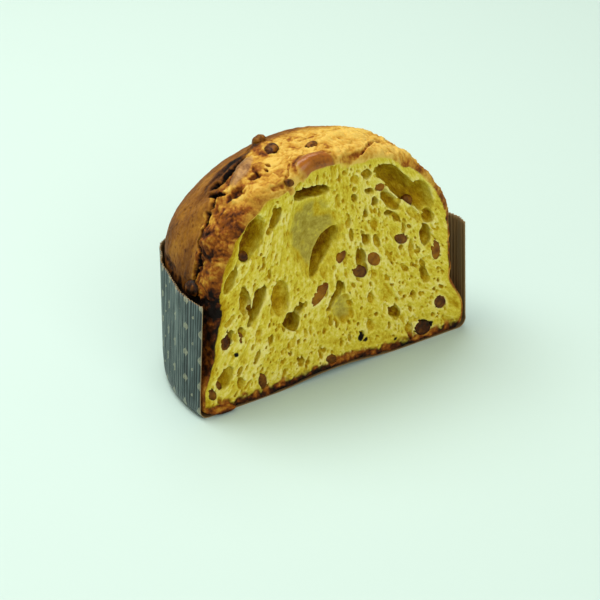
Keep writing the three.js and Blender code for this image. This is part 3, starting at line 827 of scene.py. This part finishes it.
def makeLoaf():
    axes, field, film = makeLoafField()
    grid = openvdb.FloatGrid(4.0)
    grid.copyFromArray(np.clip(field, -4, 4))
    spots, triangles, quads = grid.convertToPolygons(0.0, 0.0)
    points = np.empty(spots.shape)
    for axis, line in enumerate(axes):
        points[:, axis] = np.interp(spots[:, axis], np.arange(len(line)), line)
    print("loaf skin", len(points), "points", len(quads), "quads", len(triangles), "triangles")
    piece = meshPiece("panettoneLoaf", points, quads[:, ::-1], [makeBread()])

    x, y, z = points.T
    azimuth, climb, away = toCrust(x, y, z)
    under = lookUp(crustMap["reach"], azimuth, climb) - rollOff(x, y, z) - away
    fromBase = z - baseAt(x, y)
    ragged = layeredNoise(points, 4, 81, 3)
    formUnder = lookUp(crustMap["form"], azimuth, climb) - rollOff(x, y, z) - away
    lip = 0.9 * smooth(z, 116, 130) * (1 - smooth(x, 18, 40))
    side = 1 - smooth(formUnder + 0.15 * ragged - lip, 1.0, 1.8)
    side = np.maximum(side, 1 - smooth(under, 0.5, 0.9))
    side = np.maximum(side, smooth(lookUp(crustMap["dark"], azimuth, climb), 0.1, 0.5) * (under < 5))
    bottom = 1 - smooth(fromBase + 2.0 * ragged, 4.0, 7.2)
    toast = lookUp(crustMap["toast"], azimuth, climb)
    sunk = 0.68 + 0.16 * smooth(climb, -40, 0) + 0.2 * ragged
    # darker low at the left end, where the side is seen down the narrow gap to the paper: its own brown with
    # painted shade; lighter at the right end
    leftEnd = 0.13 * smooth(-x, 60, 75) * smooth(climb, -62, -45)
    sunk += leftEnd - 0.12 * smooth(x, 60, 75)
    toast = np.where(climb < 0, sunk, toast)
    toast = np.where(fromBase < 9, 0.74 + 0.24 * ragged + 0.2 * (1 - smooth(fromBase, 0.5, 3)), toast)
    toast = toast - (0.16 - 0.2 * ragged) * smooth(under, 0.8, 2.2) * (climb > 0)
    speck = np.zeros(len(points))
    for sx, sz, size in burntSpecks:
        away = np.hypot(x - sx, z - sz) / size + 0.35 * layeredNoise(points, 2.2, 83, 3)
        speck = np.maximum(speck, (1 - smooth(away, 0.7, 1.0)) * (y < 4))
    toast = toast + speck
    # painted light and shade: how open the surface is round each point, paler on ridges and darker in pores
    small = sample(boxMean(np.clip(field, -1.2, 1.2), 2), axes, points)
    large = sample(boxMean(np.clip(field, -4, 4), 6), axes, points)
    depth = smooth(y, 0.5, 14) * (under > 3)
    filmed = smooth(sample(film, axes, points), 0.9, 1.5)
    filmed *= smooth(y, 0.8, 4.5) * (1 - smooth(y, 8.5, 12))
    # light falls into the great hollow
    bright = 1 - 0.45 * smooth(x, 25, 35) * smooth(z, 88, 98)
    # painted light on the ridges and thin walls of the crumb, painted shade in its pores and deeper in the
    # bubbles behind the cut
    shadingAndTone = 0.41 * small + 0.10 * large - 0.34 * depth * bright * (1 - 0.6 * filmed)
    rind = 1 - smooth(formUnder, 2, 7)
    # painted light and shade, and a darker tone next to the crust at the left
    storeMask(piece, "shadingAndTone", shadingAndTone - 0.2 * rind * (1 - smooth(x, -70, -30)))
    storeMask(piece, "crust", np.clip(np.maximum(np.maximum(side, bottom), speck), 0, 1))
    # less toasted on the crust's bumps and more in its small hollows: painted light and shade
    storeMask(piece, "toast", toast - 0.25 * small)
    for name in ("mantle", "skin", "amber"):
        storeMask(piece, name, lookUp(crustMap[name], azimuth, climb) * side)
    storeMask(piece, "film", filmed)
    flow = piece.data.attributes.new("flow", "FLOAT_VECTOR", "POINT")
    flow.data.foreach_set("vector", (withFlow(x, y, z, 1.6) * millimetre).astype(np.float32).ravel())
    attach(piece, "root")
    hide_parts("loaf")
    return piece


makeLoaf()
print("loaf made")


# The case: greaseproof paper pressed into fine pleats

case = dict(
    radius=100.0, height=74.0, paper=0.45,
    rimLean=3.4, rimBulge=5.4, floorRound=6.0,
    pleats=132, pleatDepth=1.0, columnsPerPleat=6,
    outside="#95a29b", outsideDark="#263231", lowTint="#5a6b68", footPaintedShade="#8d9ea4", rimPaintedLight="#e6ecec",
    inside="#281a0c", insideStreak="#77603a", edge="#a98d5c", edgeDark="#7c5f35",
    motif="#b4b596",
    motifPitch=(14.0, 17.0), motifRadius=2.2, motifDot=1.1, motifShift=2.0,      # millimetres
)


def caseWall(azimuth, height):
    fromCut = np.minimum(azimuth, 180 - azimuth)
    rim = case["rimBulge"] * smooth(fromCut, 18, 45) - case["rimLean"]
    return case["radius"] + rim * height / case["height"]


def addMotif(material, place):
    # small lozenges in straight rows, a dot between them
    def combine(*values):
        return mathNode(material, *values)

    split = addNode(material, "ShaderNodeSeparateXYZ", inputs={"Vector": place})
    sides = []
    for name, pitch in zip("XY", case["motifPitch"]):
        part = combine("DIVIDE", combine("ADD", split.outputs[name], case["motifShift"]), pitch)
        part = combine("FRACT", part)
        sides.append(combine("ABSOLUTE", combine("MULTIPLY", combine("SUBTRACT", part, 0.5), pitch)))
    u, v = sides
    lozenge = combine("LESS_THAN", combine("ADD", u, combine("MULTIPLY", v, 0.6)), case["motifRadius"])
    dot = combine("GREATER_THAN", combine("ADD", u, v), sum(case["motifPitch"]) / 2 - case["motifDot"])
    return combine("MULTIPLY", combine("MAXIMUM", lozenge, dot), noiseNode(material, place, 0.6, 3.0))


def pleatStreak(material, height, scale, rough, amount):
    # streaks up the wall, with painted light or painted shade along the ridges of the pleats
    place = addNode(material, "ShaderNodeUVMap", {"uv_map": "millimetres"}).outputs["UV"]
    shadingAndTone = attribute(material, "pleat")
    stretched = addNode(material, "ShaderNodeMapping", inputs={"Vector": place, "Scale": (1.0, height, 1.0)})
    streak = noiseNode(material, stretched.outputs["Vector"], scale, 4.0, rough)
    return place, mathNode(material, "MULTIPLY_ADD", shadingAndTone, amount, streak)


def makeCaseMaterials():
    # Coated greaseproof paper: half-matt and cool outside, with painted light on the ridges of its pleats and
    # painted shade towards the foot
    outside, shader = newMaterial("coatedCasePaper")
    # painted light: the ridges of the pleats are paler
    place, tone = pleatStreak(outside, 0.06, 0.55, 0.7, 0.45)
    colour = addRamp(outside, tone, [
        (0.42, case["outsideDark"]), (0.62, case["lowTint"]), (0.95, case["outside"])])
    # painted shade towards the foot and painted light towards the rim
    upward = addRamp(outside, attribute(outside, "high"), [(0.0, case["footPaintedShade"]), (0.6, case["rimPaintedLight"])])
    lighter = mixColours(outside, 0.5, colour, upward, "MULTIPLY")
    printed = mixColours(outside, addMotif(outside, place), lighter, linear(case["motif"]))
    joinTo(outside, printed, shader.inputs["Base Color"])
    shader.inputs["Roughness"].default_value = 0.5

    # inside, fat from the dough has browned and darkened it
    inside, shader = newMaterial("fatBrownedPaper")
    # painted shade: the valleys of the pleats are darker
    tone = pleatStreak(inside, 0.05, 0.5, 0.5, -0.35)[1]
    colour = addRamp(inside, tone, [(0.06, case["inside"]), (0.32, case["insideStreak"])])
    joinTo(inside, colour, shader.inputs["Base Color"])
    shader.inputs["Roughness"].default_value = 0.48

    # the bare fibres of a cut edge
    edge, shader = newMaterial("cutPaperEdge")
    fibre = addNode(edge, "ShaderNodeTexNoise", inputs={"Scale": 900.0, "Detail": 2.0}).outputs["Fac"]
    bare = addRamp(edge, fibre, [(0.3, case["edgeDark"]), (0.7, case["edge"])])
    joinTo(edge, bare, shader.inputs["Base Color"])
    shader.inputs["Roughness"].default_value = 0.85
    return [outside, inside, edge]


def makeCase():
    columns = case["pleats"] * case["columnsPerPleat"] + 1
    share = np.linspace(0, 1, columns)
    draw = np.random.default_rng(3)

    def noiseAlong(places, seed, layers):
        return layeredNoise(np.stack([share * places, 0 * share, 0 * share], -1), 1, seed, layers)

    fold = np.cos(2 * np.pi * (share * case["pleats"] + 0.25 * noiseAlong(90, 5, 2)))
    strength = np.interp(share, np.linspace(0, 1, case["pleats"]), draw.uniform(0.2, 1.6, case["pleats"]))
    fold = np.sign(fold) * np.abs(fold) ** 0.7 * strength
    wave = noiseAlong(30, 9, 3)

    # the floor lies in half circles round the middle of the cut, out to the first ring of the wall
    def wallRing(radius, height, offset, folded):
        start = -np.degrees(np.arcsin(loaf["axisBack"] / radius))
        azimuth = start + share * (180 - 2 * start)
        if folded:
            radius = caseWall(azimuth, height) + fold * folded * case["pleatDepth"] / 2
            radius = radius + 0.8 * wave * folded * height / case["height"]
        angle = np.radians(azimuth)
        x = (radius - offset) * np.cos(angle)
        y = np.maximum(loaf["axisBack"] + (radius - offset) * np.sin(angle), 0)
        y[0] = y[-1] = 0
        return np.stack([x, y, np.zeros_like(x) + height], -1)

    def floorRing(part, lift):
        ring = wallRing(case["radius"] - case["floorRound"], 0, 0, 0) * part
        ring[:, 2] = baseAt(ring[:, 0], ring[:, 1]) - loaf["baseHeight"] + lift
        return ring

    def side(offset, lift):
        rings = [floorRing(part, lift) for part in np.linspace(0, 1, 14)]
        for step in range(1, 7):
            angle = math.pi / 2 * step / 6
            radius = case["radius"] - case["floorRound"] * (1 - math.sin(angle))
            height = case["floorRound"] * (1 - math.cos(angle))
            rings.append(wallRing(radius - offset * math.sin(angle), height + lift * math.cos(angle), 0, 0))
        heights = np.linspace(case["floorRound"], case["height"], 26)[1:]
        return rings + [wallRing(case["radius"], height, offset, smooth(height, 5, 14)) for height in heights]

    outer = side(0, 0)
    inner = side(case["paper"], case["paper"])
    rings = outer + inner[::-1]
    points = np.concatenate(rings)
    points[:, 2] += 0.35 * np.tile(wave, len(rings)) * (points[:, 2] > case["height"] - 0.5)
    faces, kinds = [], []
    column = np.arange(columns - 1)
    for low in range(len(rings) - 1):
        a = low * columns + column
        b = a + columns
        faces.append(np.stack([a, a + 1, b + 1, b], -1))
        kinds += [2 if low == len(outer) - 1 else int(low >= len(outer))] * len(column)
    ends = []
    for low in range(len(outer) - 1):       # the two cut ends of the paper, and its cut floor
        for end, turned in ((0, False), (columns - 1, True)):
            a, b = low * columns + end, (low + 1) * columns + end
            c, d = (len(rings) - 2 - low) * columns + end, (len(rings) - 1 - low) * columns + end
            ends.append([d, c, b, a] if turned else [a, b, c, d])
    faces = np.concatenate(faces + [np.array(ends)])
    kinds += [2] * len(ends)
    piece = meshPiece("pleatedCase", points, faces, makeCaseMaterials())
    around = share * math.pi * case["radius"]
    climb = [0]
    for ring, above in zip(outer, outer[1:]):
        climb.append(climb[-1] + float(np.linalg.norm(above - ring, axis=1).mean()))
    climb = climb + climb[::-1]
    uv = np.stack([np.tile(around, len(rings)), np.repeat(climb, columns)], -1)
    layer = piece.data.uv_layers.new(name="millimetres")
    loops = np.empty(len(piece.data.loops), dtype=np.int32)
    piece.data.loops.foreach_get("vertex_index", loops)
    layer.data.foreach_set("uv", uv[loops].astype(np.float32).ravel())
    piece.data.polygons.foreach_set("material_index", np.array(kinds, dtype=np.int32))
    storeMask(piece, "pleat", np.tile(fold / 2, len(rings)))
    storeMask(piece, "high", points[:, 2] / case["height"])
    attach(piece, "root")
    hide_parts("paper_case")


makeCase()
print("case made")


# Dried fruit

fruit = dict(
    raisin=dict(light="#80500a", dark="#421e02", fold=3.0, deep=0.06, rough=0.5),
    peel=dict(light="#946004", dark="#6a3a02", fold=3.4, deep=0.04, rough=0.5),
    scorched=dict(         # darker than the rest, or paler where below 0
        raisin_rim=1.3, raisin_base_right=0.8, raisin_slot=0.8, raisin_crown=-0.3,
        peel_centre=-0.35, raisin_left_hollow=0.4),
    knife=0.35,        # millimetres behind the cut where the blade went through the fruit
)


def makeFruitMaterials():
    # Dried fruit is mostly sugar: light goes a little way in, and painted shade makes the folds nearly black
    found = {}
    for kind in ("raisin", "peel"):
        finish = fruit[kind]
        material, shader = newMaterial(kind + "Flesh")
        place = addNode(material, "ShaderNodeTexCoord").outputs["Object"]
        noise = noiseNode(material, place, 1000 / finish["fold"], 5.0, 0.6)
        # painted shade: nearly black where the value is low, in the folds
        tone = mathNode(material, "MULTIPLY_ADD", attribute(material, "shadingAndTone"), 0.3, noise)
        colour = addRamp(material, tone, [
            (0.0, "#120800"), (0.3, finish["dark"]), (0.72, finish["light"])])
        joinTo(material, colour, shader.inputs["Base Color"])
        setSockets(shader, {
            "Roughness": finish["rough"], "Specular IOR Level": 0.14, "Subsurface Weight": 0.3,
            "Subsurface Radius": (1.0, 0.45, 0.12), "Subsurface Scale": 0.003})
        addBump(material, shader, noise)
        found[kind] = material
    return found


def roundBall(levels):
    shape = bmesh.new()
    bmesh.ops.create_icosphere(shape, subdivisions=levels, radius=1)
    mesh = bpy.data.meshes.new("ball")
    shape.to_mesh(mesh)
    shape.free()
    points = np.empty(len(mesh.vertices) * 3)
    mesh.vertices.foreach_get("co", points)
    faces = np.empty(len(mesh.polygons) * 3, dtype=np.int32)
    mesh.polygons.foreach_get("vertices", faces)
    bpy.data.meshes.remove(mesh)
    return points.reshape(-1, 3), faces.reshape(-1, 3)


def makeFruit():
    finishes = makeFruitMaterials()
    ball, faces = roundBall(5)
    places = {}
    for name, (x, z, length, short, lean, back) in cutFruit.items():
        along, behind, across = leanAxes(lean)
        places[name] = (np.array([x, back, z]), along, across, behind, length, short)
    for name, (a, c, length, short, turn, out) in crustFruit.items():
        middle, along, across, normal = fruitPlace(a, c, short, turn, out)
        places[name] = (middle, along, across, normal, length, short)
    for seed, (name, (middle, along, across, normal, length, short)) in enumerate(places.items()):
        kind = "peel" if name.startswith("peel") or name == "raisin_pale" else "raisin"
        finish = fruit[kind]
        halves = np.array([length / 2, short / 2, short * fruitThickness / 2])
        spread = ball * halves
        fold = np.abs(layeredNoise(spread + 80 + 20 * seed, finish["fold"], 200 + seed, 2))
        lump = softNoise(spread + 20 * seed, 5, 300 + seed)
        size = 1.02 - finish["deep"] * (1 - 2 * fold) + 0.1 * lump
        spread = spread * size[:, None]
        points = middle + spread[:, :1] * np.array(along) + spread[:, 1:2] * np.array(across)
        points = points + spread[:, 2:] * np.array(normal)
        if name in cutFruit:
            cut = fruit["knife"] + 0.25 * softNoise(points, 2.5, 5)
            points[:, 1] = np.maximum(points[:, 1], cut)
        piece = meshPiece("fruit_" + name, points, faces, [finishes[kind]])
        # on the crust's fruit painted shade in the creases of the skin, on the cut fruit a tone that varies
        # at random, both less the scorched darkening
        folded = 0.8 * softNoise(spread + 40 * seed, 3.5, 400 + seed) if name in cutFruit else 2 * fold - 0.5
        storeMask(piece, "shadingAndTone", folded - fruit["scorched"].get(name, 0))
        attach(piece, "root")
        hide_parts(name)


makeFruit()
print("fruit made")


# Floor, light and camera

stage = dict(
    floor="#c6dcd2", world="#f4f2e6", worldPower=0.42,
    lights=[        # name, place, target and size in metres, power
        ("softboxAbove", (-0.35, 0.55, 1.5), (0, 0, 0.05), 1.3, 25),
        ("frontFill", (-0.4, -1.9, 1.2), (0, 0, 0.05), 1.6, 21),
        ("softboxBehind", (0.7, 0.75, 1.5), (0, 0, 0.08), 0.7, 4),
    ],
)


def makeStage():
    bpy.ops.mesh.primitive_plane_add(size=6, location=(0, 0, 0))
    floor = bpy.context.object
    floor.name = "studioFloor"
    material, shader = newMaterial("paleFloor")
    shader.inputs["Base Color"].default_value = linear(stage["floor"])
    shader.inputs["Roughness"].default_value = 0.75
    floor.data.materials.append(material)
    world = bpy.data.worlds.new("softStudio")
    world.use_nodes = True
    world.node_tree.nodes["Background"].inputs["Color"].default_value = linear(stage["world"])
    world.node_tree.nodes["Background"].inputs["Strength"].default_value = stage["worldPower"]
    bpy.context.scene.world = world
    bpy.context.scene.view_settings.view_transform = "Standard"


def addLight(name, place, target, size, power):
    light = bpy.data.lights.new(name, "AREA")
    light.size = size
    light.energy = power
    lamp = bpy.data.objects.new(name, light)
    lamp.location = place
    lamp.rotation_euler = (Vector(target) - Vector(place)).to_track_quat("-Z", "Y").to_euler()
    bpy.context.collection.objects.link(lamp)


view = dict(azimuth=-35.2, elevation=28.5, distance=1500.0, lens=140.16, target=(33.7, 87.38, 0.0))


def makeCamera():
    azimuth = math.radians(view["azimuth"])
    elevation = math.radians(view["elevation"])
    level = math.cos(elevation)
    away = Vector((math.sin(azimuth) * level, -math.cos(azimuth) * level, math.sin(elevation)))
    target = Vector(toMetres(np.array([view["target"]]))[0])
    lens = bpy.data.cameras.new("photoCamera")
    lens.lens = view["lens"]
    lens.sensor_width = 36
    camera = bpy.data.objects.new("photoCamera", lens)
    camera.location = target + away * view["distance"] * millimetre
    camera.rotation_euler = (-away).to_track_quat("-Z", "Y").to_euler()
    bpy.context.collection.objects.link(camera)
    bpy.context.scene.camera = camera


makeStage()
for light in stage["lights"]:
    addLight(*light)
makeCamera()
print("stage ready")
